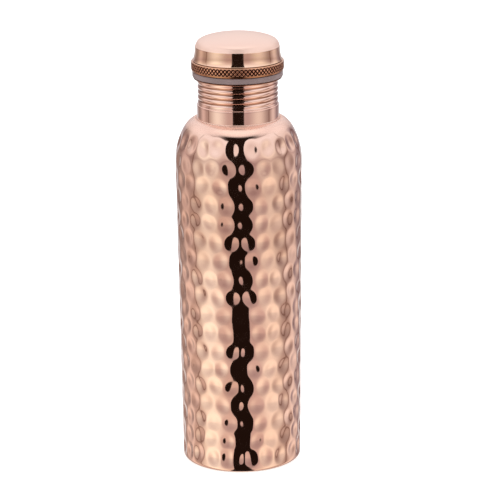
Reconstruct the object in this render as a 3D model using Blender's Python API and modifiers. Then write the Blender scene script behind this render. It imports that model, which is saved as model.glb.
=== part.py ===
"""Copper water bottle with a screw cap: bottle, cap and gasket as separate turned sheet-metal pieces.

The origin is at the middle of the foot, on the surface that the bottle stands on, with +Z up the axis.
Sizes are in millimetres in the constants and profiles, and in metres in the meshes.
"""

import math

import bpy

MM = 0.001

# Sheet metal and gaps
BODY_SHEET = 0.6
NECK_SHEET = 0.7
CAP_SHEET = 0.7
SEAM = 0.35  # between pieces that are brazed or pressed together
AXIAL_GAP = 0.3  # between pieces that rest on each other

# Bottle body: a tapered wall under a round shoulder
SHOULDER_RADIUS = 38.0
SHOULDER_START = 188.0
SHOULDER_TOP = 213.0
SHOULDER_POWER_Z = 2 / 1.69
SHOULDER_POWER_R = 2 / 1.92
FOOT_RADIUS = 36.0
FOOT_CORNER = 2.9
FOOT_INNER_RADIUS = 30.5

# Base: a pressed pan behind the turned-in foot
PAN_RADIUS = 33.4
PAN_STEP_RADIUS = 29.6
PAN_STEP = 1.6
PAN_RECESS = 4.2
PAN_ROUNDING = 0.5

# Neck, from the collar up to the flared lip
COLLAR_RADIUS = 24.5
COLLAR_TOP = 221.4
COLLAR_CHAMFER = 0.5
NECK_BOTTOM = 209.0
NECK_RADIUS = 24.05
LIP_RADIUS = 26.4
LIP_TOP = 237.95
LIP_FILLET = 2.2
LIP_FILLET_START_DEG = 100

# Thread, rolled as a right-hand helical groove through the neck and through the cap's plug
THREAD_PITCH = 3.1
THREAD_DEPTH = 0.7
THREAD_TOP = 233.6
THREAD_BOTTOM = 222.0
THREAD_FADE = 1.3
THREAD_CLEARANCE = 0.3
THREAD_PHASE_TURNS = 0.387
THREAD_ROWS = 18

# Gasket
GASKET_RADIUS = 27.0
GASKET_INNER_RADIUS = 23.45
GASKET_BOTTOM = LIP_TOP + AXIAL_GAP
GASKET_HEIGHT = 3.4
GASKET_ROUNDING = 0.5

# Cap
FLANGE_RADIUS = 27.65
FLANGE_BOTTOM = GASKET_BOTTOM + GASKET_HEIGHT + AXIAL_GAP
FLANGE_HEIGHT = 5.9
FLANGE_EDGE = 1.2  # height of the smooth edge under the knurling
FLANGE_EDGE_DRAFT = 0.2
FLANGE_EDGE_ROUNDING = 0.5
FLANGE_BEVEL = 0.4
DOME_RADIUS = 25.15
DOME_TOP = 264.1
DOME_BOW = 3.9  # fall of the roof from its even curve
DOME_TURN = 1.6  # further fall, mostly in its outer third
DOME_TURN_POWER = 9
DOME_ROLL = 2.2  # last fall, at its rolled edge
DOME_ROLL_POWER = 35
DOME_EDGE = 0.25
DOME_FLARE = 1.45  # how far the foot of the side spreads
DOME_FLARE_HEIGHT = 2.9

# Plug under the cap
PLUG_RADIUS = NECK_RADIUS - NECK_SHEET - THREAD_CLEARANCE
PLUG_TOP = 250.5
PLUG_END_RADIUS = 22.3
PLUG_BOTTOM = 220.6
PLUG_TAPER_TOP = 223.4
PLUG_TAPER_BOTTOM = 222.0
PLUG_DISC_RISE = 0.5
PLUG_DISC_RIM = 2.2

# Facets round each piece
BODY_FACETS = 48
THREAD_FACETS = 40
CAP_FACETS = 44

# Base colours, linear
COPPER = (0.90, 0.53, 0.40)
BRIGHT_COPPER = (0.93, 0.58, 0.46)
WARM_COPPER = (0.72, 0.36, 0.20)
GREY_SILICONE = (0.24, 0.18, 0.18)


def clear_scene():
    for obj in list(bpy.data.objects):
        bpy.data.objects.remove(obj, do_unlink=True)


def make_material(name, colour, roughness, metallic):
    material = bpy.data.materials.new(name)
    material.use_nodes = True
    surface = material.node_tree.nodes["Principled BSDF"]
    surface.inputs["Base Color"].default_value = (*colour, 1.0)
    surface.inputs["Roughness"].default_value = roughness
    surface.inputs["Metallic"].default_value = metallic
    material.diffuse_color = (*colour, 1.0)
    return material


# Profiles are lists of (radius, height). A closed one runs down its outer side and up its inner side.


def arc(centre_radius, centre_height, radius, start_deg, end_deg, steps):
    """Points on a circular arc, with angles from +radius towards +height."""
    angles = [start_deg + (end_deg - start_deg) * i / steps for i in range(steps + 1)]
    return [
        (
            centre_radius + radius * math.cos(math.radians(angle)),
            centre_height + radius * math.sin(math.radians(angle)),
        )
        for angle in angles
    ]


def crown(inner_radius, outer_radius, low, high, power_r, power_z, steps):
    """A rounded crown from its inner top edge down to its outer lower edge."""
    points = []
    for i in range(steps + 1):
        angle = math.pi / 2 * (steps - i) / steps
        across = max(0.0, math.cos(angle)) ** power_r
        up = math.sin(angle) ** power_z
        points.append((inner_radius + (outer_radius - inner_radius) * across, low + (high - low) * up))
    return points


def wall_radius(height):
    """Outer radius of the straight tapered wall."""
    share = (height - FOOT_CORNER) / (SHOULDER_START - FOOT_CORNER)
    return FOOT_RADIUS + (SHOULDER_RADIUS - FOOT_RADIUS) * share


def rows(top, bottom, count):
    return [top + (bottom - top) * i / count for i in range(count + 1)]


def smooth_step(share):
    share = min(1.0, max(0.0, share))
    return share * share * (3 - 2 * share)


def thread_shift(angle, height):
    """How far the rolled helix presses the sheet inwards, from 0 on the crest to THREAD_DEPTH."""
    turns = height / THREAD_PITCH - angle / (2 * math.pi) + THREAD_PHASE_TURNS
    groove = (0.5 - 0.5 * math.cos(2 * math.pi * turns)) ** 1.5
    fade = smooth_step((THREAD_TOP - height) / THREAD_FADE)
    fade *= smooth_step((height - THREAD_BOTTOM) / THREAD_FADE)
    return THREAD_DEPTH * groove * fade


def link(obj, collection, material):
    obj.data.materials.append(material)
    collection.objects.link(obj)
    return obj


def turned(name, profile, facets, closed=True):
    """A solid of revolution about Z. An open profile starts and ends on the axis."""
    mesh = bpy.data.meshes.new(name)
    points = [(radius * MM, 0.0, height * MM) for radius, height in profile]
    edges = [(i, i + 1) for i in range(len(points) - 1)]
    if closed:
        edges.append((len(points) - 1, 0))
    mesh.from_pydata(points, edges, [])
    obj = bpy.data.objects.new(name, mesh)
    screw = obj.modifiers.new("Turn", "SCREW")
    screw.axis = "Z"
    screw.angle = 2 * math.pi
    screw.steps = facets
    screw.render_steps = facets
    screw.use_merge_vertices = True
    screw.merge_threshold = 1e-5
    screw.use_smooth_shade = True
    return obj


def threaded(name, profile, facets, collection):
    """A turned tube with the helical thread pressed into it."""
    plain = turned(name + "_blank", profile, facets)
    collection.objects.link(plain)
    bpy.context.view_layer.update()
    graph = bpy.context.evaluated_depsgraph_get()
    mesh = bpy.data.meshes.new_from_object(plain.evaluated_get(graph))
    bpy.data.objects.remove(plain, do_unlink=True)
    mesh.name = name
    for vertex in mesh.vertices:
        x, y, z = vertex.co
        radius = math.hypot(x, y)
        scale = 1 - thread_shift(math.atan2(y, x), z / MM) * MM / radius
        vertex.co = (x * scale, y * scale, z)
    return bpy.data.objects.new(name, mesh)


def body_shell():
    outer = crown(
        COLLAR_RADIUS + SEAM,
        SHOULDER_RADIUS,
        SHOULDER_START,
        SHOULDER_TOP,
        SHOULDER_POWER_R,
        SHOULDER_POWER_Z,
        9,
    )
    foot_centre = wall_radius(FOOT_CORNER) - FOOT_CORNER
    outer += arc(foot_centre, FOOT_CORNER, FOOT_CORNER, 0, -90, 4)
    outer.append((FOOT_INNER_RADIUS, 0.0))
    inner = [(FOOT_INNER_RADIUS, BODY_SHEET)]
    inner += arc(foot_centre, FOOT_CORNER, FOOT_CORNER - BODY_SHEET, -90, 0, 3)
    inner += crown(
        COLLAR_RADIUS + SEAM,
        SHOULDER_RADIUS - BODY_SHEET,
        SHOULDER_START,
        SHOULDER_TOP - BODY_SHEET,
        SHOULDER_POWER_R,
        SHOULDER_POWER_Z,
        9,
    )[::-1]
    return turned("body_shell", outer + inner, BODY_FACETS)


def base_disc():
    low = BODY_SHEET + AXIAL_GAP
    high = low + BODY_SHEET
    step_radius = PAN_STEP_RADIUS - PAN_STEP
    recess = PAN_RECESS + BODY_SHEET
    profile = [
        (0.0, recess),
        (step_radius, recess),
        (step_radius + PAN_STEP / 2, recess - PAN_ROUNDING),
        (PAN_STEP_RADIUS, high + PAN_ROUNDING),
        (PAN_STEP_RADIUS + BODY_SHEET, high),
        (PAN_RADIUS, high),
        (PAN_RADIUS, low),
        (PAN_STEP_RADIUS, low),
        (PAN_STEP_RADIUS - BODY_SHEET, low + PAN_ROUNDING),
        (step_radius, PAN_RECESS - PAN_ROUNDING),
        (step_radius - PAN_ROUNDING, PAN_RECESS),
        (0.0, PAN_RECESS),
    ]
    return turned("base_disc", profile, BODY_FACETS, closed=False)


def threaded_neck(collection):
    lip_under = LIP_TOP - NECK_SHEET
    outer = [(LIP_RADIUS, LIP_TOP), (LIP_RADIUS, lip_under)]
    outer += arc(NECK_RADIUS + LIP_FILLET, lip_under - LIP_FILLET, LIP_FILLET, LIP_FILLET_START_DEG, 180, 4)
    outer += [(NECK_RADIUS, height) for height in rows(THREAD_TOP, THREAD_BOTTOM, THREAD_ROWS)]
    outer += [
        (NECK_RADIUS, COLLAR_TOP + COLLAR_CHAMFER),
        (COLLAR_RADIUS, COLLAR_TOP),
        (COLLAR_RADIUS, NECK_BOTTOM),
    ]
    bore = NECK_RADIUS - NECK_SHEET
    collar_bore = COLLAR_RADIUS - NECK_SHEET
    inner = [
        (collar_bore, NECK_BOTTOM),
        (collar_bore, COLLAR_TOP - COLLAR_CHAMFER),
        (bore, COLLAR_TOP),
    ]
    inner += [(bore, height) for height in rows(THREAD_BOTTOM, THREAD_TOP, THREAD_ROWS)]
    rounding = LIP_FILLET - NECK_SHEET
    inner += arc(bore + rounding, LIP_TOP - rounding, rounding, 180, 90, 3)
    return threaded("threaded_neck", outer + inner, THREAD_FACETS, collection)


def gasket():
    top = GASKET_BOTTOM + GASKET_HEIGHT
    edge = GASKET_RADIUS - GASKET_ROUNDING
    profile = [(GASKET_INNER_RADIUS, top)]
    profile += arc(edge, top - GASKET_ROUNDING, GASKET_ROUNDING, 90, 0, 2)
    profile += arc(edge, GASKET_BOTTOM + GASKET_ROUNDING, GASKET_ROUNDING, 0, -90, 2)
    profile.append((GASKET_INNER_RADIUS, GASKET_BOTTOM))
    return turned("gasket", profile, CAP_FACETS)


def knurled_flange():
    top = FLANGE_BOTTOM + FLANGE_HEIGHT
    bore = PLUG_RADIUS + SEAM
    edge_radius = FLANGE_RADIUS - FLANGE_EDGE_DRAFT
    profile = [
        (bore, top),
        (FLANGE_RADIUS - FLANGE_BEVEL, top),
        (FLANGE_RADIUS, top - FLANGE_BEVEL),
        (FLANGE_RADIUS, FLANGE_BOTTOM + FLANGE_EDGE),
        (edge_radius, FLANGE_BOTTOM + FLANGE_EDGE / 2),
        (edge_radius - FLANGE_EDGE_ROUNDING, FLANGE_BOTTOM),
        (bore, FLANGE_BOTTOM),
    ]
    return turned("knurled_flange", profile, CAP_FACETS)


def dome_roof(inset, shares):
    points = []
    for share in shares:
        fall = DOME_BOW * share**2 + DOME_TURN * share**DOME_TURN_POWER + DOME_ROLL * share**DOME_ROLL_POWER
        points.append(((DOME_RADIUS - inset) * share, DOME_TOP - inset - fall))
    return points


def dome_side(inset, top, foot, count):
    """The side from its top down to the foot, where it spreads out; the points crowd towards the foot."""
    points = []
    for i in range(count + 1):
        height = foot + (top - foot) * (1 - i / count) ** 1.6
        spread = DOME_FLARE * math.exp((foot - height) / DOME_FLARE_HEIGHT)
        points.append((DOME_RADIUS - inset + spread, height))
    return points


def cap_dome():
    foot = FLANGE_BOTTOM + FLANGE_HEIGHT + AXIAL_GAP
    edge = DOME_TOP - DOME_BOW - DOME_TURN - DOME_ROLL
    roof = dome_roof(0.0, (0, 0.25, 0.45, 0.62, 0.76, 0.86, 0.92, 0.955, 0.977, 0.991, 1))
    side = dome_side(0.0, edge - DOME_EDGE, foot + CAP_SHEET / 2, 8)
    lip = [(side[-1][0], foot)]
    inner = dome_side(CAP_SHEET, edge - CAP_SHEET - DOME_EDGE, foot, 6)[::-1]
    under = dome_roof(CAP_SHEET, (1, 0.975, 0.93, 0.82, 0.6, 0))
    return turned("cap_dome", roof + side + lip + inner + under, CAP_FACETS, closed=False)


def plug_radius(height):
    """The plug's crest radius, which steps in below its thread."""
    share = smooth_step((height - PLUG_TAPER_BOTTOM) / (PLUG_TAPER_TOP - PLUG_TAPER_BOTTOM))
    return PLUG_END_RADIUS + (PLUG_RADIUS - PLUG_END_RADIUS) * share


def threaded_plug(collection):
    heights = rows(THREAD_TOP, PLUG_TAPER_BOTTOM, THREAD_ROWS)
    outer = [(PLUG_RADIUS, PLUG_TOP)]
    outer += [(plug_radius(height), height) for height in heights]
    outer.append((PLUG_END_RADIUS, PLUG_BOTTOM))
    bore = PLUG_END_RADIUS - CAP_SHEET
    inner = [(bore, PLUG_BOTTOM), (bore, PLUG_TOP)]
    return threaded("threaded_plug", outer + inner, THREAD_FACETS, collection)


def plug_end_disc():
    low = PLUG_BOTTOM + PLUG_DISC_RISE
    radius = PLUG_END_RADIUS - CAP_SHEET - SEAM
    inside = radius - CAP_SHEET
    profile = [
        (0.0, low + CAP_SHEET),
        (inside - CAP_SHEET, low + CAP_SHEET),
        (inside, low + 2 * CAP_SHEET),
        (inside, low + PLUG_DISC_RIM),
        (radius, low + PLUG_DISC_RIM),
        (radius, low + CAP_SHEET),
        (radius - CAP_SHEET, low),
        (0.0, low),
    ]
    return turned("plug_end_disc", profile, THREAD_FACETS, closed=False)


def main():
    clear_scene()
    bottle = bpy.data.collections.new("copper_water_bottle")
    bpy.context.scene.collection.children.link(bottle)
    copper = make_material("hammered_copper", COPPER, 0.18, 1.0)
    bright = make_material("polished_copper", BRIGHT_COPPER, 0.14, 1.0)
    warm = make_material("knurled_copper", WARM_COPPER, 0.32, 1.0)
    silicone = make_material("grey_silicone", GREY_SILICONE, 0.5, 0.0)
    link(body_shell(), bottle, copper)
    link(base_disc(), bottle, copper)
    link(threaded_neck(bottle), bottle, bright)
    link(gasket(), bottle, silicone)
    link(knurled_flange(), bottle, warm)
    link(cap_dome(), bottle, bright)
    link(threaded_plug(bottle), bottle, bright)
    link(plug_end_disc(), bottle, bright)


main()
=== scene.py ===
"""The finished look of the hammered copper water bottle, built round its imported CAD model.

Sizes are in millimetres in the constants and profiles, and in metres in the meshes.
Azimuths are in degrees round +Z from the front, -Y, towards +X.
"""

import math

import bpy
import numpy as np
from mathutils import Matrix, Vector


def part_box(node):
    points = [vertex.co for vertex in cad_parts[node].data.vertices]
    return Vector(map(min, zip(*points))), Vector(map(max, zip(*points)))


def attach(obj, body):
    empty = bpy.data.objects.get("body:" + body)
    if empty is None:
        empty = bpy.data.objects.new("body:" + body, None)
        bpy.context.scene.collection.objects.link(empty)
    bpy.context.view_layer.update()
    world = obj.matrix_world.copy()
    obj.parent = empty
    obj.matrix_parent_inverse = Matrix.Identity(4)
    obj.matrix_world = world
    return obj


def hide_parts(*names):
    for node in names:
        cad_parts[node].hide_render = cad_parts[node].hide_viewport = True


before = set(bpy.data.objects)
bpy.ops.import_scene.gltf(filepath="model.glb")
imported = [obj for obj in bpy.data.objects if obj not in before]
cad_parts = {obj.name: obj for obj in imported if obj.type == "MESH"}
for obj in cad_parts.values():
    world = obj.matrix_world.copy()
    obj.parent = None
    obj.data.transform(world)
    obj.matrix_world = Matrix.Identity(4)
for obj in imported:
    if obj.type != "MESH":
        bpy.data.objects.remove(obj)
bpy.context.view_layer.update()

MM = 0.001
TURN = 2 * math.pi


def node_top(node):
    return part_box(node)[1].z / MM


def node_bottom(node):
    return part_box(node)[0].z / MM


def node_radius(node):
    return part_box(node)[1].x / MM


# Sheet metal
BODY_SHEET = 0.6
NECK_SHEET = 0.7
CAP_SHEET = 0.7
SEAM = 0.35  # between pieces that are brazed or pressed together

# Body
SHOULDER_RADIUS = node_radius("body_shell")
SHOULDER_START = 188.0
SHOULDER_TOP = node_top("body_shell")
# The shoulder is a quarter of a superellipse
SHOULDER_POWER_Z = 2 / 1.69
SHOULDER_POWER_R = 2 / 1.92
FOOT_RADIUS = 36.0
FOOT_CORNER = 2.9
FOOT_INNER_RADIUS = 30.5

# Base pan
PAN_RADIUS = node_radius("base_disc")
PAN_BOTTOM = node_bottom("base_disc")
PAN_STEP_RADIUS = 29.6
PAN_STEP = 1.6
PAN_RECESS = 4.2
PAN_ROUNDING = 0.5
PAN_FOOT = 0.6
PAN_CORNER = 0.7
PAN_RING_PITCH = 4.6
PAN_RING_DEPTH = 0.09

# Neck
COLLAR_RADIUS = 24.5
COLLAR_TOP = 221.4
COLLAR_CHAMFER = 0.14
NECK_BOTTOM = node_bottom("threaded_neck")
NECK_RADIUS = 24.05
LIP_RADIUS = node_radius("threaded_neck")
LIP_TOP = node_top("threaded_neck")
LIP_FILLET = 1.2
LIP_EDGE = NECK_SHEET / 2
LIP_OVERHANG = 0.05

# Braze between the collar and the shoulder
BEAD_SIZE = 0.45
BEAD_HEIGHT = 0.6
BEAD_LAP = 0.06

# Thread
THREAD_PITCH = 3.1
THREAD_DEPTH = 0.6
THREAD_TOP = 236.0
THREAD_BOTTOM = 222.0
THREAD_FADE = 1.3
THREAD_CLEARANCE = 0.3
THREAD_PHASE_TURNS = 0.637

# Gasket
GASKET_RADIUS = node_radius("gasket")
GASKET_INNER_RADIUS = 23.45
GASKET_TOP = node_top("gasket")
GASKET_BOTTOM = node_bottom("gasket")
GASKET_ROUNDING = 0.6
GASKET_FLAT = 1.2

# Cap
FLANGE_RADIUS = node_radius("knurled_flange")
FLANGE_TOP = node_top("knurled_flange")
FLANGE_BOTTOM = node_bottom("knurled_flange")
FLANGE_EDGE = 1.2
FLANGE_BEVEL = 0.55
FLANGE_LAND = 1.0
FLANGE_GROOVE = 0.4
FLANGE_ROUNDING = 0.4
FLANGE_FOOT_INSET = 0.26
KNURLS_ROUND = 72
KNURL_ROWS = 1.5
KNURL_DEPTH = 0.4
KNURL_FLAT = 0.45  # share of each ridge that is worn flat
KNURL_COLUMNS = 9
DOME_FOOT = node_bottom("cap_dome")
DOME_RADIUS = 25.15
DOME_TOP = node_top("cap_dome")
DOME_BOW = 3.9
DOME_TURN = 1.6
DOME_TURN_POWER = 9
DOME_ROLL = 2.2
DOME_ROLL_POWER = 35
DOME_EDGE = 0.3
DOME_CORNER = DOME_TOP - DOME_BOW - DOME_TURN - DOME_ROLL
DOME_FLARE = 1.45
DOME_FLARE_HEIGHT = 2.9
DOME_HEM = 0.14

# Plug
PLUG_RADIUS = NECK_RADIUS - NECK_SHEET - THREAD_CLEARANCE
PLUG_TOP = node_top("threaded_plug")
PLUG_BOTTOM = node_bottom("threaded_plug")
PLUG_END_RADIUS = 22.3
PLUG_TAPER_TOP = 223.4
PLUG_TAPER_BOTTOM = 222.0
PLUG_ROUNDING = 0.3
PLUG_RING_PITCH = 3.4
PLUG_RING_DEPTH = 0.07

# Hammering: rows of round dents from the shoulder to the foot
DENTS_ROUND = 23
DENT_TOP_ROW = 201.0
DENT_ROW_PITCH = 11.27
DENT_HALF_WIDTH = 5.5
DENT_HALF_HEIGHT = 6.0
DENT_DEPTH = 0.62
# Neighbouring dents join in a crest, which a higher power makes sharper
DENT_CREST_POWER = 6
DENT_REACH_DEG = 14
# How the blows differ: a seed, factors of width, height and depth, and largest errors of place and lean
DENT_SEED = 7
DENT_WIDTHS = (0.88, 1.08)
DENT_HEIGHTS = (0.9, 1.08)
DENT_DEPTHS = (0.8, 1.3)
FRONT_DEPTHS = (1.0, 1.15)
DENT_TURN_ERROR_DEG = 1.6
DENT_RISE_ERROR = 0.9
DENT_LEAN = 0.15
# The rows at the shoulder and the foot are struck harder
END_ROWS = (0, 17)
END_ROW_DEPTH = 1.4
END_ROW_HEIGHT = 1.12
# Depth factor of the front blows in those rows
FRONT_END_DEPTH = {0: 0.85, 17: 1.35}
# Azimuths of the blows nearest the front, row by row from the top
DENT_FRONTS = (
    (-5.5, 13.0),
    (-9.0, 6.5),
    (-2.5, 13.0),
    (-11.5, 5.5),
    (-12.0, 4.5),
    (-7.0, 8.0),
    (-2.5, 11.0),
    (-14.0, 4.5),
    (-6.5, 9.0),
    (0.0, 16.0),
    (1.0, 17.0),
    (-7.0, 5.5),
    (-2.0, 12.5),
    (-9.0, 4.5),
    (-3.5, 14.5),
    (-11.0, 4.0),
    (1.5, 14.5),
    (-14.0, -3.6, 8.5),
)

# Fineness of the meshes: columns round the axis, and spacing of the rows on the hammered wall.
# The discs stop at the hub's radius, and a fan of triangles closes them.
BODY_SEGMENTS = 330
NECK_SEGMENTS = 288
CAP_SEGMENTS = 256
RING_SEGMENTS = 192
DISC_SEGMENTS = 160
OUTSIDE_SPACING = 1.0
INSIDE_SPACING = 4.0
CROWN_STEPS = 60
HUB_RADIUS = 0.5

# Copper finishes: pale colour, deep colour, roughness and strength of the marks
HAMMERED = ((0.93, 0.62, 0.50), (0.90, 0.58, 0.455), 0.055, 0.2)
POLISHED = ((0.94, 0.62, 0.50), (0.91, 0.585, 0.455), 0.06, 0.2)
NECKED = ((0.95, 0.63, 0.52), (0.93, 0.60, 0.49), 0.06, 0.2)
SPUN = ((0.99, 0.65, 0.49), (0.97, 0.61, 0.44), 0.06, 0.45)
BRAZED = ((0.95, 0.68, 0.56), (0.93, 0.63, 0.50), 0.22, 0.8)
# Bands of another finish, and two bands of painted shade on the neck: where each fades in, in metres, then
# its colour, roughness and metalness.
# The first three go by height, the others by distance from the axis.
SATIN_SHOULDER = (0.2075, 0.2095, (0.91, 0.59, 0.475), 0.24, 0.6)
SATIN_CROWN = ((DOME_CORNER - 0.2) * MM, (DOME_CORNER + 0.2) * MM, (0.86, 0.60, 0.505), 0.34, 0.4)
# Painted shade: the top of the neck's lip, just under the gasket, is darkened
PAINTED_SHADE_UNDER_GASKET = ((LIP_TOP - 0.85) * MM, (LIP_TOP - 0.45) * MM, (0.30, 0.13, 0.075), 0.2, 1.0)
SATIN_BY_COLLAR = ((COLLAR_RADIUS + 0.5) * MM, (COLLAR_RADIUS + 3.0) * MM, (0.95, 0.66, 0.55), 0.4, 0.3)
# Painted shade: the neck is darkened where it lies more than about 0.3 mm inside its outer radius, in the
# thread's grooves and in the bore
PAINTED_SHADE_IN_GROOVES = ((NECK_RADIUS - 0.58) * MM, (NECK_RADIUS - 0.28) * MM, (0.42, 0.20, 0.125), 0.1, 1.0)
# Heights in metres between which a darker tint fades in and out on the body, and that tint
DARKER_BODY_BAND = ((0.105, 0.145, 0.172, 0.192), (0.9, 0.88, 0.87))
DOME_STREAKS = (0.97, 0.64, 0.44)
# Knurled band
KNURL_POINT_BRIGHT = (0.86, 0.42, 0.26)
KNURL_POINT_WORN = (0.70, 0.31, 0.18)
# Painted shade in the knurl's grooves
KNURL_GROOVE_SHADE = (0.04, 0.010, 0.005)
BAND_ABOVE = (0.80, 0.44, 0.28)
# Painted shade on the band's lower edge, below the knurling
SHADE_BELOW_KNURL = (0.46, 0.21, 0.11)
# Gasket
SILICONE_DARK = (0.19, 0.132, 0.128)
SILICONE_PALE = (0.225, 0.158, 0.155)

# Camera, in metres and degrees
CAMERA_DISTANCE = 1.5616
CAMERA_ASIDE = 0.0062
CAMERA_HEIGHT = 0.5683
CAMERA_DOWN_DEG = 15.666
CAMERA_ROLL_DEG = 0.633
CAMERA_LENS = 192.9


# Profiles and grids


def arc(centre_radius, centre_height, radius, start_deg, end_deg, steps):
    angles = np.radians(np.linspace(start_deg, end_deg, steps + 1))
    return [(centre_radius + radius * math.cos(a), centre_height + radius * math.sin(a)) for a in angles]


def crown(inner_radius, outer_radius, low, high, power_r, power_z, steps):
    points = []
    for i in range(steps + 1):
        angle = math.pi / 2 * (steps - i) / steps
        across = max(0.0, math.cos(angle)) ** power_r
        up = math.sin(angle) ** power_z
        points.append((inner_radius + (outer_radius - inner_radius) * across, low + (high - low) * up))
    return points


def line(start, end, steps):
    """Points on a straight line, without its start."""
    shares = [i / steps for i in range(1, steps + 1)]
    return [(start[0] + (end[0] - start[0]) * s, start[1] + (end[1] - start[1]) * s) for s in shares]


def smooth_step(share):
    share = np.clip(share, 0.0, 1.0)
    return share * share * (3 - 2 * share)


def respaced(profile, spacing):
    """The same outline with its points evenly spaced."""
    points = np.array(profile)
    along = np.concatenate([[0], np.cumsum(np.hypot(*np.diff(points, axis=0).T))])
    count = max(2, round(along[-1] / spacing))
    even = np.linspace(0, along[-1], count + 1)
    return np.stack([np.interp(even, along, column) for column in points.T], 1)


class Grid:
    """A surface of revolution: a row of points for each profile point, a column for each angle."""

    def __init__(self, profile, segments):
        points = np.array(profile, float)
        self.azimuth = np.arange(segments) * TURN / segments
        self.radius = np.repeat(points[:, :1], segments, 1)
        self.height = np.repeat(points[:, 1:], segments, 1)
        step = np.gradient(points, axis=0)
        length = np.hypot(step[:, 0], step[:, 1])
        self.normal = np.stack([-step[:, 1] / length, step[:, 0] / length], 1)

    def press(self, depth):
        """Moves the points inwards along the normal, which points out of a profile that runs downwards."""
        self.radius = self.radius - depth * self.normal[:, :1]
        self.height = self.height - depth * self.normal[:, 1:]

    def points(self):
        x = self.radius * np.sin(self.azimuth)
        y = -self.radius * np.cos(self.azimuth)
        return np.stack([x, y, self.height], -1) * MM


def build(name, grids, closed=True):
    """One mesh from grids with equal columns: a closed ring, or a disc with a point on each side."""
    points = np.concatenate([grid.points() for grid in grids])
    rows, segments, _ = points.shape
    index = np.arange(rows * segments).reshape(rows, segments)
    if closed:
        upper, lower = index, np.roll(index, -1, axis=0)
        ends = None
    else:
        upper, lower = index[:-1], index[1:]
        ends = (points[0, :, 2].mean(), points[-1, :, 2].mean())
    quads = np.stack([upper, lower, np.roll(lower, -1, axis=1), np.roll(upper, -1, axis=1)], -1)
    verts = points.reshape(-1, 3).tolist()
    faces = quads.reshape(-1, 4).tolist()
    if ends:
        for ring, height, flip in ((index[0], ends[0], False), (index[-1], ends[1], True)):
            verts.append((0.0, 0.0, height))
            pole = len(verts) - 1
            around = np.roll(ring, -1)
            for a, b in zip(ring.tolist(), around.tolist()):
                faces.append((pole, b, a) if flip else (pole, a, b))
    mesh = bpy.data.meshes.new(name)
    mesh.from_pydata(verts, [], faces)
    mesh.validate()
    mesh.shade_smooth()
    obj = bpy.data.objects.new(name, mesh)
    bpy.context.scene.collection.objects.link(obj)
    return obj


def place(obj, body, slot, material, *nodes):
    obj.data.materials.append(material)
    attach(obj, body)
    if nodes:
        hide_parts(*nodes)
    return obj


# Hammered body


def wall_radius(height):
    share = (height - FOOT_CORNER) / (SHOULDER_START - FOOT_CORNER)
    return FOOT_RADIUS + (SHOULDER_RADIUS - FOOT_RADIUS) * share


def body_outline(inset, steps):
    """The body's outline from the neck to the foot's corner, moved inwards by inset."""
    return crown(
        COLLAR_RADIUS + SEAM,
        SHOULDER_RADIUS - inset,
        SHOULDER_START,
        SHOULDER_TOP - inset,
        SHOULDER_POWER_R,
        SHOULDER_POWER_Z,
        steps,
    )


def dent_azimuths(front, rng):
    """The blows of one row: those at the front, and the others spaced round the rest of the turn."""
    others = DENTS_ROUND - len(front)
    spacing = (360 - (front[-1] - front[0])) / (others + 1)
    centres = front[-1] + spacing * np.arange(1, others + 1)
    centres += rng.uniform(-DENT_TURN_ERROR_DEG, DENT_TURN_ERROR_DEG, others)
    return np.concatenate([front, centres])


def hammering(azimuth, along, radius, row_places):
    """Depth of the hammered surface at each grid point. Neighbouring blows meet in soft crests."""
    rng = np.random.default_rng(DENT_SEED)
    total = np.zeros_like(radius)
    for row, (place_along, front) in enumerate(zip(row_places, DENT_FRONTS)):
        for number, centre in enumerate(dent_azimuths(front, rng)):
            loose = number >= len(front)
            width = DENT_HALF_WIDTH * rng.uniform(*DENT_WIDTHS)
            height = DENT_HALF_HEIGHT * rng.uniform(*DENT_HEIGHTS)
            depth = DENT_DEPTH * rng.uniform(*(DENT_DEPTHS if loose else FRONT_DEPTHS))
            if row in END_ROWS:
                depth *= END_ROW_DEPTH if loose else FRONT_END_DEPTH[row]
                height *= END_ROW_HEIGHT
            shift = rng.uniform(-DENT_RISE_ERROR, DENT_RISE_ERROR) * loose
            lean = rng.uniform(-DENT_LEAN, DENT_LEAN)
            turn = (np.degrees(azimuth) - centre + 180) % 360 - 180
            near_rows = np.abs(along[:, 0] - place_along - shift) < height
            near_columns = np.abs(turn) < DENT_REACH_DEG
            block = np.ix_(near_rows, near_columns)
            up = (along[block] - place_along - shift) / height
            across = np.radians(turn[near_columns])[None] * radius[block] / width + lean * up
            inside = np.clip(1 - across**2 - up**2, 0, None)
            total[block] += (depth * inside**2) ** DENT_CREST_POWER
    return total ** (1 / DENT_CREST_POWER)


def pressed(outline, spacing, segments, foot_along):
    """A grid of the body's outline with the hammering pressed into it."""
    profile = respaced(outline, spacing)
    grid = Grid(profile, segments)
    along = np.concatenate([[0], np.cumsum(np.hypot(*np.diff(profile, axis=0).T))])
    upwards = foot_along + along[-1] - along
    order = np.argsort(profile[:, 1])
    rows = DENT_TOP_ROW - DENT_ROW_PITCH * np.arange(len(DENT_FRONTS))
    row_places = np.interp(rows, profile[order, 1], upwards[order])
    spread = np.repeat(upwards[:, None], segments, 1)
    depth = hammering(grid.azimuth, spread, grid.radius, row_places)
    grid.press(depth)
    return grid


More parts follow.
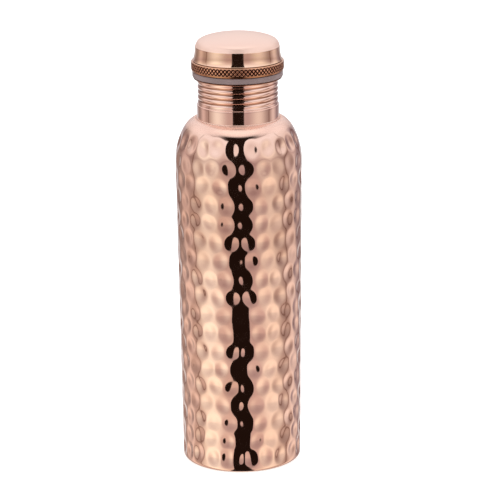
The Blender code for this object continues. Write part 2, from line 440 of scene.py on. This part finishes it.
def hammered_body():
    foot_centre = wall_radius(FOOT_CORNER) - FOOT_CORNER
    outer = body_outline(0.0, CROWN_STEPS) + [(wall_radius(FOOT_CORNER), FOOT_CORNER)]
    inner = body_outline(BODY_SHEET, CROWN_STEPS) + [(wall_radius(FOOT_CORNER) - BODY_SHEET, FOOT_CORNER)]
    under = arc(foot_centre, FOOT_CORNER, FOOT_CORNER, -9, -90, steps=9) + [(FOOT_INNER_RADIUS, 0.0)]
    over = [(FOOT_INNER_RADIUS, BODY_SHEET)]
    over += arc(foot_centre, FOOT_CORNER, FOOT_CORNER - BODY_SHEET, -90, -15, steps=5)
    outside = pressed(outer, OUTSIDE_SPACING, BODY_SEGMENTS, FOOT_CORNER)
    inside = pressed(inner, INSIDE_SPACING, BODY_SEGMENTS, FOOT_CORNER)
    inside.radius = inside.radius[::-1]
    inside.height = inside.height[::-1]
    foot = [Grid(under, BODY_SEGMENTS), Grid(over, BODY_SEGMENTS)]
    return build("hammered_body", [outside, *foot, inside])


# Base


def pressed_base():
    low = PAN_BOTTOM
    high = low + BODY_SHEET
    inner = PAN_STEP_RADIUS - PAN_STEP
    foot = PAN_STEP_RADIUS + PAN_FOOT / 2
    under = [(PAN_RADIUS, high), (PAN_RADIUS, low), (foot, low)]
    under += arc(foot, low + PAN_FOOT, PAN_FOOT, -90, -180, steps=4)[1:]
    under += line(under[-1], (inner + PAN_ROUNDING, PAN_RECESS - PAN_CORNER), steps=3)
    corner = inner + PAN_ROUNDING - PAN_CORNER
    under += arc(corner, PAN_RECESS - PAN_CORNER, PAN_CORNER, 0, 90, steps=4)[1:]
    for radius in np.linspace(corner - 1.0, HUB_RADIUS, 46):
        wave = 0.5 + 0.5 * math.cos(radius * TURN / PAN_RING_PITCH)
        under.append((radius, PAN_RECESS - PAN_RING_DEPTH * wave))
    upper = [(HUB_RADIUS, PAN_RECESS + BODY_SHEET), (inner, PAN_RECESS + BODY_SHEET)]
    upper += [(PAN_STEP_RADIUS + 0.1, high + PAN_ROUNDING), (PAN_STEP_RADIUS + BODY_SHEET, high)]
    return build("pressed_base", [Grid(upper + under, RING_SEGMENTS)], closed=False)


# Neck and thread


def thread_shift(azimuth, height):
    """How far the rolled helix presses the sheet inwards. The helix is counted from +X."""
    turns = height / THREAD_PITCH - (azimuth / TURN - 0.25) + THREAD_PHASE_TURNS
    groove = (0.5 - 0.5 * np.cos(TURN * turns)) ** 1.1
    fade = smooth_step((THREAD_TOP - height) / THREAD_FADE)
    fade = fade * smooth_step((height - THREAD_BOTTOM) / THREAD_FADE)
    return THREAD_DEPTH * groove * fade


def rolled(name, profile, segments):
    grid = Grid(profile, segments)
    grid.radius = grid.radius - thread_shift(grid.azimuth[None], grid.height)
    return build(name, [grid])


def rolled_neck():
    under = LIP_TOP - NECK_SHEET
    rounding = LIP_FILLET - NECK_SHEET
    bore = NECK_RADIUS - NECK_SHEET
    collar_bore = COLLAR_RADIUS - NECK_SHEET
    outer = arc(LIP_RADIUS + LIP_OVERHANG - LIP_EDGE, LIP_TOP - LIP_EDGE, LIP_EDGE, 90, -90, steps=8)
    outer += arc(NECK_RADIUS + LIP_FILLET, under - LIP_FILLET, LIP_FILLET, 95, 180, steps=12)
    outer += line(outer[-1], (NECK_RADIUS, COLLAR_TOP + COLLAR_CHAMFER), steps=84)
    outer += line(outer[-1], (COLLAR_RADIUS - 0.1, COLLAR_TOP + 0.04), steps=3)
    outer += [(COLLAR_RADIUS, COLLAR_TOP - 0.1)]
    outer += line(outer[-1], (COLLAR_RADIUS, NECK_BOTTOM), steps=10)
    inner = [(collar_bore, NECK_BOTTOM)]
    inner += line(inner[-1], (collar_bore, COLLAR_TOP - COLLAR_CHAMFER), steps=6)
    inner += line(inner[-1], (bore, COLLAR_TOP), steps=3)
    inner += line(inner[-1], (bore, LIP_TOP - rounding), steps=76)
    inner += arc(bore + rounding, LIP_TOP - rounding, rounding, 180, 92, steps=8)[1:]
    return rolled("rolled_neck", outer + inner, NECK_SEGMENTS)


def neck_braze_bead():
    """The thin fillet of brazing metal that closes the seam between the collar and the shoulder."""
    top = SHOULDER_TOP + BEAD_SIZE
    bottom = SHOULDER_TOP - BEAD_HEIGHT
    inner = COLLAR_RADIUS - 0.05
    outline = [(inner, top), (COLLAR_RADIUS + BEAD_LAP, top - 0.04)]
    outline += arc(COLLAR_RADIUS + BEAD_LAP, SHOULDER_TOP, BEAD_SIZE, 75, 0, steps=7)
    outline += [(COLLAR_RADIUS + BEAD_SIZE, bottom), (inner, bottom)]
    return build("neck_braze_bead", [Grid(outline, RING_SEGMENTS)])


def silicone_gasket():
    edge = GASKET_RADIUS - GASKET_ROUNDING
    flat = GASKET_INNER_RADIUS + GASKET_FLAT
    outline = [(GASKET_INNER_RADIUS, GASKET_TOP), (flat, GASKET_TOP)]
    outline += arc(edge, GASKET_TOP - GASKET_ROUNDING, GASKET_ROUNDING, 90, 10, steps=6)
    outline += line(outline[-1], (GASKET_RADIUS - 0.04, GASKET_BOTTOM + GASKET_ROUNDING), steps=6)
    outline += arc(edge, GASKET_BOTTOM + GASKET_ROUNDING, GASKET_ROUNDING, -10, -90, steps=6)
    outline += [(flat, GASKET_BOTTOM), (GASKET_INNER_RADIUS, GASKET_BOTTOM)]
    return build("silicone_gasket", [Grid(outline, RING_SEGMENTS)])


# Cap


def ridge(turns):
    """A row of ridges with worn flat tops, from 0 in the groove to 1 on top."""
    wave = 2 * np.abs(turns % 1 - 0.5)
    return smooth_step(wave / (1 - KNURL_FLAT))


def knurled_band():
    bore = PLUG_RADIUS + SEAM
    low = FLANGE_BOTTOM + FLANGE_EDGE
    high = FLANGE_TOP - FLANGE_BEVEL
    bevel = FLANGE_RADIUS - FLANGE_BEVEL
    foot = FLANGE_BOTTOM + FLANGE_ROUNDING
    outline = [(bore, FLANGE_TOP), (bore + FLANGE_LAND, FLANGE_TOP), (bevel - 0.5, FLANGE_TOP)]
    outline += arc(bevel, high, FLANGE_BEVEL, 90, 8, steps=7)
    outline += line(outline[-1], (FLANGE_RADIUS, low), steps=40)
    outline += [(FLANGE_RADIUS - FLANGE_GROOVE, low - 0.1), (FLANGE_RADIUS - 0.1, low - 0.2)]
    outline += line(outline[-1], (FLANGE_RADIUS - FLANGE_FOOT_INSET, foot), steps=3)
    inset = FLANGE_FOOT_INSET + FLANGE_ROUNDING
    outline += arc(FLANGE_RADIUS - inset, foot, FLANGE_ROUNDING, -10, -90, steps=5)
    outline += [(bore + FLANGE_LAND, FLANGE_BOTTOM), (bore, FLANGE_BOTTOM)]
    grid = Grid(outline, KNURLS_ROUND * KNURL_COLUMNS)
    around = grid.azimuth[None] * KNURLS_ROUND / TURN
    up = (grid.height - low) / (high - low) * KNURL_ROWS
    cut = 1 - np.minimum(ridge(around + up), ridge(around - up))
    run_in = smooth_step((grid.height - low + 0.02) / 0.12)
    run_out = smooth_step((high + 0.05 - grid.height) / 0.15)
    on_rim = grid.radius > FLANGE_RADIUS - 0.2
    grid.radius = grid.radius - KNURL_DEPTH * cut * run_in * run_out * on_rim
    return build("knurled_band", [grid])


def dome_roof(inset, steps):
    """The dome's roof from its middle to its edge, with the points crowded towards the edge."""
    share = np.sin(np.linspace(0, math.pi / 2, steps + 1))
    fall = DOME_BOW * share**2 + DOME_TURN * share**DOME_TURN_POWER + DOME_ROLL * share**DOME_ROLL_POWER
    radii = (DOME_RADIUS - inset) * share
    return list(zip(radii.tolist(), (DOME_TOP - inset - fall).tolist()))


def dome_side(inset, top, foot, steps):
    """The dome's side, which spreads smoothly out over the knurled band."""
    heights = foot + (top - foot) * np.linspace(1, 0, steps + 1) ** 1.5
    flare = DOME_FLARE * np.exp((foot - heights) / DOME_FLARE_HEIGHT)
    return list(zip((DOME_RADIUS - inset + flare).tolist(), heights.tolist()))


def spun_dome():
    outer = dome_roof(0.0, steps=72)[1:]
    outer += dome_side(0.0, DOME_CORNER - DOME_EDGE, DOME_FOOT + 2 * DOME_HEM + 0.02, steps=40)
    outer += arc(outer[-1][0], DOME_FOOT + DOME_HEM + 0.02, DOME_HEM, 40, -90, steps=5)
    inner = dome_side(CAP_SHEET, DOME_CORNER - CAP_SHEET - DOME_EDGE, DOME_FOOT, steps=16)[::-1]
    under = dome_roof(CAP_SHEET, steps=24)[:0:-1]
    return build("spun_dome", [Grid(outer + inner + under, CAP_SEGMENTS)], closed=False)


def plug_radius(height):
    share = smooth_step((height - PLUG_TAPER_BOTTOM) / (PLUG_TAPER_TOP - PLUG_TAPER_BOTTOM))
    return PLUG_END_RADIUS + (PLUG_RADIUS - PLUG_END_RADIUS) * float(share)


def cap_plug():
    outer = [(PLUG_RADIUS, PLUG_TOP)]
    outer += line(outer[-1], (PLUG_RADIUS, THREAD_TOP), steps=6)
    outer += [(plug_radius(h), h) for h in np.linspace(THREAD_TOP, PLUG_TAPER_BOTTOM, 78)[1:]]
    outer += arc(PLUG_END_RADIUS - PLUG_ROUNDING, PLUG_BOTTOM + PLUG_ROUNDING, PLUG_ROUNDING, 0, -90, steps=5)
    bore = PLUG_END_RADIUS - CAP_SHEET
    inner = [(bore, PLUG_BOTTOM), (bore, PLUG_BOTTOM + 2), (bore, PLUG_TOP)]
    return rolled("cap_plug", outer + inner, CAP_SEGMENTS)


def plug_end():
    low = node_bottom("plug_end_disc")
    high = node_top("plug_end_disc")
    radius = node_radius("plug_end_disc")
    hub = 0.4
    outline = [(hub, low + CAP_SHEET), (radius - 2 * CAP_SHEET, low + CAP_SHEET)]
    outline += arc(radius - 2 * CAP_SHEET, low + 2 * CAP_SHEET, CAP_SHEET, -90, 0, steps=5)[1:]
    outline += [(radius - CAP_SHEET, high), (radius, high), (radius, low + CAP_SHEET)]
    outline += arc(radius - CAP_SHEET, low + CAP_SHEET, CAP_SHEET, 0, -90, steps=5)[1:]
    for ring in np.linspace(radius - 1.5, hub, 40):
        wave = 0.5 - 0.5 * math.cos(ring * TURN / PLUG_RING_PITCH)
        outline.append((ring, low + PLUG_RING_DEPTH * wave))
    return build("plug_end", [Grid(outline, DISC_SEGMENTS)], closed=False)


# Shader nodes


class Shader:
    """Short names for adding and linking the nodes of one tree."""

    def __init__(self, tree):
        self.tree = tree

    def node(self, kind, **settings):
        made = self.tree.nodes.new(kind)
        for name, value in settings.items():
            setattr(made, name, value)
        return made

    def feed(self, socket, value):
        if isinstance(value, bpy.types.NodeSocket):
            self.tree.links.new(value, socket)
        else:
            socket.default_value = value

    def math(self, operation, *values):
        made = self.node("ShaderNodeMath", operation=operation)
        for socket, value in zip(made.inputs, values):
            self.feed(socket, value)
        return made.outputs[0]

    def blend_range(self, value, low, high, to_low=0.0, to_high=1.0, smooth=True):
        kind = "SMOOTHSTEP" if smooth else "LINEAR"
        made = self.node("ShaderNodeMapRange", interpolation_type=kind)
        for socket, number in zip(made.inputs, (value, low, high, to_low, to_high)):
            self.feed(socket, number)
        return made.outputs[0]

    def ramp(self, value, stops, interpolation="EASE"):
        made = self.node("ShaderNodeValToRGB")
        made.color_ramp.interpolation = interpolation
        elements = made.color_ramp.elements
        while len(elements) < len(stops):
            elements.new(1.0)
        for element, (position, colour) in zip(elements, stops):
            element.position = position
            element.color = (*colour, 1.0)
        self.feed(made.inputs[0], value)
        return made.outputs[0]

    def mix(self, share, first, second, blend="MIX"):
        made = self.node("ShaderNodeMix", data_type="RGBA", blend_type=blend)
        for socket, value in ((made.inputs[0], share), (made.inputs[6], first), (made.inputs[7], second)):
            if isinstance(value, tuple):
                value = (*value, 1.0)
            self.feed(socket, value)
        return made.outputs[2]

    def noise(self, place, scale, detail=3.0, roughness=0.5, distortion=0.0):
        made = self.node("ShaderNodeTexNoise")
        self.feed(made.inputs["Vector"], place)
        self.feed(made.inputs["Scale"], scale)
        self.feed(made.inputs["Detail"], detail)
        self.feed(made.inputs["Roughness"], roughness)
        self.feed(made.inputs["Distortion"], distortion)
        return made.outputs[0]

    def bump(self, height, strength, distance, normal=None):
        made = self.node("ShaderNodeBump")
        self.feed(made.inputs["Strength"], strength)
        self.feed(made.inputs["Distance"], distance)
        self.feed(made.inputs["Height"], height)
        if normal is not None:
            self.feed(made.inputs["Normal"], normal)
        return made.outputs[0]


def new_material(name):
    material = bpy.data.materials.new(name)
    material.use_nodes = True
    shader = Shader(material.node_tree)
    surface = material.node_tree.nodes["Principled BSDF"]
    place = shader.node("ShaderNodeTexCoord").outputs["Object"]
    return material, shader, surface, place


def split_place(shader, place):
    split = shader.node("ShaderNodeSeparateXYZ")
    shader.feed(split.inputs[0], place)
    return split.outputs


def axis_distance(shader, place):
    x, y, _ = split_place(shader, place)
    squares = shader.math("ADD", shader.math("MULTIPLY", x, x), shader.math("MULTIPLY", y, y))
    return shader.math("SQRT", squares)


def turned_place(shader, place, across=0.02):
    """Coordinates for marks that run round the axis: the angle hardly counts."""
    x, y, z = split_place(shader, place)
    joined = shader.node("ShaderNodeCombineXYZ")
    shader.feed(joined.inputs[0], axis_distance(shader, place))
    shader.feed(joined.inputs[1], shader.math("MULTIPLY", shader.math("ARCTAN2", y, x), across))
    shader.feed(joined.inputs[2], z)
    return joined.outputs[0]


def copper(name, pale, deep, roughness, marks, top_band=None, axis_band=None, streaks=None, darker_band=None):
    """Polished copper: slow changes of hue, faint turning marks and handling haze.

    top_band is (start height, end height, colour, roughness and metalness above). axis_band is (inner
    distance from the axis, outer distance, colour, roughness and metalness inside). A metalness below 1
    stands in for a frosted finish. streaks is the colour of soft lines round the axis, and darker_band is
    (four heights between which a tint multiplied into the colour fades in and out, and that tint). Heights
    and distances are in metres.
    """
    material, shader, surface, place = new_material(name)
    height = split_place(shader, place)[2]
    hue = shader.noise(place, scale=38.0, detail=3.0, roughness=0.55)
    colour = shader.mix(shader.blend_range(hue, 0.35, 0.68), pale, deep)
    haze = shader.noise(place, scale=160.0, detail=4.0, roughness=0.6, distortion=0.4)
    lines = shader.noise(turned_place(shader, place), scale=4200.0, detail=2.0)
    blur = shader.blend_range(haze, 0.35, 0.75, roughness * 0.75, roughness * 1.5)
    if streaks:
        soft = shader.noise(turned_place(shader, place, 0.006), scale=620.0, roughness=0.6)
        colour = shader.mix(shader.blend_range(soft, 0.4, 0.66), colour, streaks)
    # The colour is darkened in a band of heights
    if darker_band:
        heights, tint = darker_band
        share = shader.blend_range(height, heights[0], heights[1])
        share = shader.math("MULTIPLY", share, shader.blend_range(height, heights[2], heights[3], 1.0, 0.0))
        colour = shader.mix(share, colour, tint, "MULTIPLY")
    bands = []
    if top_band:
        bands.append((shader.blend_range(height, *top_band[:2]), *top_band[2:]))
    if axis_band:
        distance = axis_distance(shader, place)
        bands.append((shader.blend_range(distance, *axis_band[:2], 1.0, 0.0), *axis_band[2:]))
    metal = None
    for share, tint, rough, metalness in bands:
        colour = shader.mix(share, colour, tint)
        blur = shader.math("ADD", blur, shader.math("MULTIPLY", share, rough - roughness))
        if metalness < 1.0:
            kept = shader.blend_range(share, 0.0, 1.0, 1.0, metalness, smooth=False)
            metal = kept if metal is None else shader.math("MINIMUM", metal, kept)
    shader.feed(surface.inputs["Base Color"], colour)
    shader.feed(surface.inputs["Metallic"], 1.0 if metal is None else metal)
    shader.feed(surface.inputs["Roughness"], shader.math("ADD", blur, shader.math("MULTIPLY", lines, 0.02)))
    soft_marks = shader.bump(haze, strength=marks * 0.25, distance=0.00006)
    fine_marks = shader.bump(lines, strength=marks, distance=0.000006, normal=soft_marks)
    shader.feed(surface.inputs["Normal"], fine_marks)
    return material


def knurled_copper(name):
    """Warm copper with patches of wear on the knurl's points, painted shade in its grooves and on the band's
    lower edge, and smooth edges.
    """
    material, shader, surface, place = new_material(name)
    radius = axis_distance(shader, place)
    height = split_place(shader, place)[2]
    top = FLANGE_RADIUS * MM
    depth = KNURL_DEPTH * MM
    # Painted shade: the knurl is darkened towards near black by the depth of its grooves
    share = shader.blend_range(radius, top - 0.35 * depth, top - 0.06 * depth)
    wear = shader.noise(place, scale=420.0, detail=4.0, roughness=0.6)
    point = shader.mix(shader.blend_range(wear, 0.35, 0.7), KNURL_POINT_BRIGHT, KNURL_POINT_WORN)
    colour = shader.mix(share, KNURL_GROOVE_SHADE, point)
    low = (FLANGE_BOTTOM + FLANGE_EDGE) * MM
    high = (FLANGE_TOP - FLANGE_BEVEL) * MM
    above = shader.blend_range(height, high, high + 0.2 * MM)
    # Painted shade: the band's lower edge, below the knurling, is darkened
    below = shader.blend_range(height, low - 0.2 * MM, low - 0.12 * MM, 1.0, 0.0)
    colour = shader.mix(above, colour, BAND_ABOVE)
    colour = shader.mix(below, colour, SHADE_BELOW_KNURL)
    shader.feed(surface.inputs["Base Color"], colour)
    surface.inputs["Metallic"].default_value = 1.0
    shader.feed(surface.inputs["Roughness"], shader.blend_range(wear, 0.3, 0.7, 0.14, 0.26))
    return material


def silicone(name):
    """Matt grey rubber with a fine grain, slightly translucent."""
    material, shader, surface, place = new_material(name)
    cloud = shader.noise(place, scale=70.0)
    colour = shader.mix(shader.blend_range(cloud, 0.35, 0.65), SILICONE_DARK, SILICONE_PALE)
    shader.feed(surface.inputs["Base Color"], colour)
    grain = shader.noise(place, scale=1500.0)
    shader.feed(surface.inputs["Roughness"], shader.blend_range(grain, 0.3, 0.7, 0.38, 0.55))
    shader.feed(surface.inputs["Normal"], shader.bump(grain, strength=0.2, distance=0.00008))
    surface.inputs["Subsurface Weight"].default_value = 0.15
    surface.inputs["Subsurface Radius"].default_value = (0.003, 0.002, 0.002)
    surface.inputs["Subsurface Scale"].default_value = 1.0
    return material


# Studio


def around_stops(stops):
    """Ramp stops from azimuths in degrees, -180 to 180."""
    return [(0.5 + azimuth / 360, colour) for azimuth, colour in stops]


def upright_stops(stops):
    """Ramp stops from elevations in degrees, -90 to 90."""
    return [(0.5 + elevation / 180, colour) for elevation, colour in stops]


# The tent's walls round the bottle, by azimuth
WALL_GLOW = (
    (-180, (0.74, 0.75, 0.78)),
    (-160, (0.66, 0.66, 0.70)),
    (-135, (0.38, 0.32, 0.31)),
    (-114, (0.80, 0.71, 0.69)),
    (-97, (0.50, 0.42, 0.40)),
    (-60, (1.06, 1.10, 1.04)),
    (-24, (0.62, 0.53, 0.52)),
    (24, (0.58, 0.49, 0.50)),
    (60, (0.93, 0.91, 0.86)),
    (97, (0.42, 0.35, 0.34)),
    (116, (0.85, 0.80, 0.80)),
    (140, (0.36, 0.31, 0.35)),
    (164, (0.68, 0.69, 0.73)),
    (180, (0.74, 0.75, 0.78)),
)
# How the walls fade and glow with elevation: a lit table low down, and dim walls above its far edge
WALL_FADE = (
    (-90, (1.0, 0.95, 0.9)),
    (-55, (1.14, 1.08, 0.98)),
    (-34, (1.27, 1.25, 1.17)),
    (-25, (1.22, 1.2, 1.14)),
    (-12, (0.92, 0.91, 0.9)),
    (-5, (0.84, 0.82, 0.83)),
    (2, (0.72, 0.68, 0.7)),
    (8, (0.92, 0.92, 0.94)),
    (14, (1.12, 1.16, 1.18)),
)
ROOF_GLOW = (
    (8, (0.80, 0.80, 0.82)),
    (16, (0.86, 0.86, 0.90)),
    (27, (0.98, 1.0, 1.05)),
    (37, (1.06, 1.12, 1.2)),
    (52, (0.95, 0.97, 1.04)),
    (66, (0.98, 1.0, 1.05)),
    (90, (1.08, 1.17, 1.23)),
)
# The light above the front is the brightest
FRONT_LIGHT = 0.3
FRONT_LIGHT_LOW = 56.0
FRONT_LIGHT_HIGH = 64.0
FRONT_LIGHT_END = 80.0
FRONT_LIGHT_COLOUR = (1.9, 2.0, 2.0)
# Thin dark joins of the tent: azimuth, half-width and strength
TENT_JOINS = ((-91.0, 1.1, 0.7), (97.0, 1.1, 0.66), (-144.5, 1.6, 0.55), (144.5, 1.6, 0.55))
JOIN_COLOUR = (0.12, 0.05, 0.03)
OPENING_AZIMUTH = 1.0
OPENING_HALF_WIDTH = 15.4
OPENING_TOP = 56.0
OPENING_COLOUR = (0.014, 0.008, 0.006)
# The opening spreads into a soft dark bar at its top, between these elevations
OPENING_BAR = 34.0
OPENING_BAR_LOW = 39.0
OPENING_BAR_HIGH = 50.0
# The front edge of the overhead light, a soft dim line above the walls
EDGE_ELEVATION = 47.0
EDGE_HALF_WIDTH = 3.0
EDGE_STRENGTH = 0.55
EDGE_COLOUR = (0.2, 0.13, 0.12)
# What all rays see except the mirrored ones
PLAIN_WHITE = (1.0, 1.0, 1.0)


def studio_world():
    """A soft tent: bright above, graded round the sides, with a narrow dark opening at the front."""
    world = bpy.data.worlds.new("studio")
    bpy.context.scene.world = world
    world.use_nodes = True
    tree = world.node_tree
    tree.nodes.clear()
    shader = Shader(tree)
    split = shader.node("ShaderNodeSeparateXYZ")
    shader.feed(split.inputs[0], shader.node("ShaderNodeTexCoord").outputs["Generated"])
    x, y, z = split.outputs
    azimuth = shader.math("DEGREES", shader.math("ARCTAN2", x, shader.math("MULTIPLY", y, -1.0)))
    elevation = shader.math("DEGREES", shader.math("ARCSINE", z))
    around = shader.blend_range(azimuth, -180.0, 180.0, smooth=False)
    height = shader.blend_range(elevation, -90.0, 90.0, smooth=False)
    walls = shader.ramp(around, around_stops(WALL_GLOW))
    fade = shader.ramp(height, upright_stops(WALL_FADE))
    walls = shader.mix(1.0, walls, fade, "MULTIPLY")
    roof = shader.ramp(height, upright_stops(ROOF_GLOW))
    light = shader.mix(shader.blend_range(elevation, 10.0, 28.0), walls, roof)
    front = shader.blend_range(shader.math("ABSOLUTE", azimuth), 90.0, 150.0, 1.0, 0.0)
    front = shader.math("MULTIPLY", front, shader.blend_range(elevation, FRONT_LIGHT_LOW, FRONT_LIGHT_HIGH))
    ending = shader.blend_range(elevation, FRONT_LIGHT_END, 90.0, FRONT_LIGHT, 0.0)
    front = shader.math("MULTIPLY", front, ending)
    light = shader.mix(front, light, FRONT_LIGHT_COLOUR)
    above = shader.math("ABSOLUTE", shader.math("SUBTRACT", elevation, EDGE_ELEVATION))
    edge = shader.blend_range(above, 0.5, EDGE_HALF_WIDTH, EDGE_STRENGTH, 0.0)
    facing = shader.blend_range(shader.math("ABSOLUTE", azimuth), 70.0, 110.0, 1.0, 0.0)
    light = shader.mix(shader.math("MULTIPLY", edge, facing), light, EDGE_COLOUR)
    for centre, half, strength in TENT_JOINS:
        away = shader.math("ABSOLUTE", shader.math("SUBTRACT", azimuth, centre))
        join = shader.blend_range(away, half - 0.8, half + 1.4, strength, 0.0)
        join = shader.math("MULTIPLY", join, shader.blend_range(elevation, 6.0, 14.0, 1.0, 0.5))
        join = shader.math("MULTIPLY", join, shader.blend_range(elevation, 36.0, 50.0, 1.0, 0.0))
        light = shader.mix(join, light, JOIN_COLOUR)
    away = shader.math("ABSOLUTE", shader.math("SUBTRACT", azimuth, OPENING_AZIMUTH))
    level = shader.math("SQRT", shader.math("SUBTRACT", 1.0, shader.math("MULTIPLY", z, z)))
    away = shader.math("MULTIPLY", away, level)
    bar = shader.blend_range(elevation, OPENING_BAR_LOW, OPENING_BAR_HIGH, 0.0, OPENING_BAR)
    inner = shader.math("ADD", OPENING_HALF_WIDTH - 0.7, shader.math("MULTIPLY", bar, 0.1))
    outer = shader.math("ADD", OPENING_HALF_WIDTH + 0.8, bar)
    opening = shader.blend_range(away, inner, outer, 1.0, 0.0)
    top = shader.blend_range(elevation, OPENING_TOP - 4, OPENING_TOP + 5, 1.0, 0.0)
    light = shader.mix(shader.math("MULTIPLY", opening, top), light, OPENING_COLOUR)
    mirrored = shader.node("ShaderNodeLightPath").outputs["Is Glossy Ray"]
    light = shader.mix(mirrored, PLAIN_WHITE, light)
    sky = shader.node("ShaderNodeBackground")
    shader.feed(sky.inputs["Color"], light)
    out = shader.node("ShaderNodeOutputWorld")
    tree.links.new(sky.outputs[0], out.inputs[0])


def floor():
    mesh = bpy.data.meshes.new("floor")
    half = 6.0
    corners = [(-half, -half, 0), (half, -half, 0), (half, half, 0), (-half, half, 0)]
    mesh.from_pydata(corners, [], [(0, 1, 2, 3)])
    obj = bpy.data.objects.new("floor", mesh)
    bpy.context.scene.collection.objects.link(obj)
    material, _, surface, _ = new_material("lit_floor")
    surface.inputs["Base Color"].default_value = (0.9, 0.9, 0.9, 1.0)
    surface.inputs["Roughness"].default_value = 1.0
    surface.inputs["Specular IOR Level"].default_value = 0.0
    surface.inputs["Emission Color"].default_value = (1.0, 1.0, 1.0, 1.0)
    surface.inputs["Emission Strength"].default_value = 0.6
    mesh.materials.append(material)
    obj.visible_glossy = False


def soft_light():
    data = bpy.data.lights.new("overhead_softbox", "AREA")
    data.shape = "DISK"
    data.size = 1.6
    data.energy = 6.0
    obj = bpy.data.objects.new("overhead_softbox", data)
    obj.location = (0.0, -0.3, 1.9)
    obj.rotation_euler = (Vector((0, 0, 0.1)) - obj.location).to_track_quat("-Z", "Y").to_euler()
    obj.visible_glossy = False
    bpy.context.scene.collection.objects.link(obj)


def camera():
    data = bpy.data.cameras.new("camera")
    data.lens = CAMERA_LENS
    data.sensor_width = 36.0
    data.clip_end = 50.0
    obj = bpy.data.objects.new("camera", data)
    down = Matrix.Rotation(math.radians(90 - CAMERA_DOWN_DEG), 4, "X")
    roll = Matrix.Rotation(math.radians(-CAMERA_ROLL_DEG), 4, "Z")
    obj.matrix_world = Matrix.Translation((CAMERA_ASIDE, -CAMERA_DISTANCE, CAMERA_HEIGHT)) @ down @ roll
    bpy.context.scene.collection.objects.link(obj)
    bpy.context.scene.camera = obj


def main():
    # The hammered body is darkened in a band of heights
    hammered = copper("hammered_copper", *HAMMERED, SATIN_SHOULDER, SATIN_BY_COLLAR, darker_band=DARKER_BODY_BAND)
    polished = copper("polished_copper", *POLISHED)
    # The neck's two dark bands are painted shade: under the gasket, and in the thread's grooves and the bore
    necked = copper("neck_copper", *NECKED, PAINTED_SHADE_UNDER_GASKET, PAINTED_SHADE_IN_GROOVES)
    domed = copper("domed_copper", *SPUN, SATIN_CROWN, streaks=DOME_STREAKS)
    brazed = copper("braze_metal", *BRAZED)
    knurled = knurled_copper("knurled_copper")
    rubber = silicone("grey_silicone")
    place(hammered_body(), "bottle", "hammered_copper", hammered, "body_shell")
    place(pressed_base(), "bottle", "hammered_copper", polished, "base_disc")
    place(rolled_neck(), "bottle", "polished_copper", necked, "threaded_neck")
    place(neck_braze_bead(), "bottle", "polished_copper", brazed)
    place(silicone_gasket(), "seal", "grey_silicone", rubber, "gasket")
    place(knurled_band(), "cap", "knurled_copper", knurled, "knurled_flange")
    place(spun_dome(), "cap", "polished_copper", domed, "cap_dome")
    place(cap_plug(), "cap", "polished_copper", polished, "threaded_plug")
    place(plug_end(), "cap", "polished_copper", polished, "plug_end_disc")
    studio_world()
    floor()
    soft_light()
    camera()
    bpy.context.scene.view_settings.view_transform = "Standard"


main()
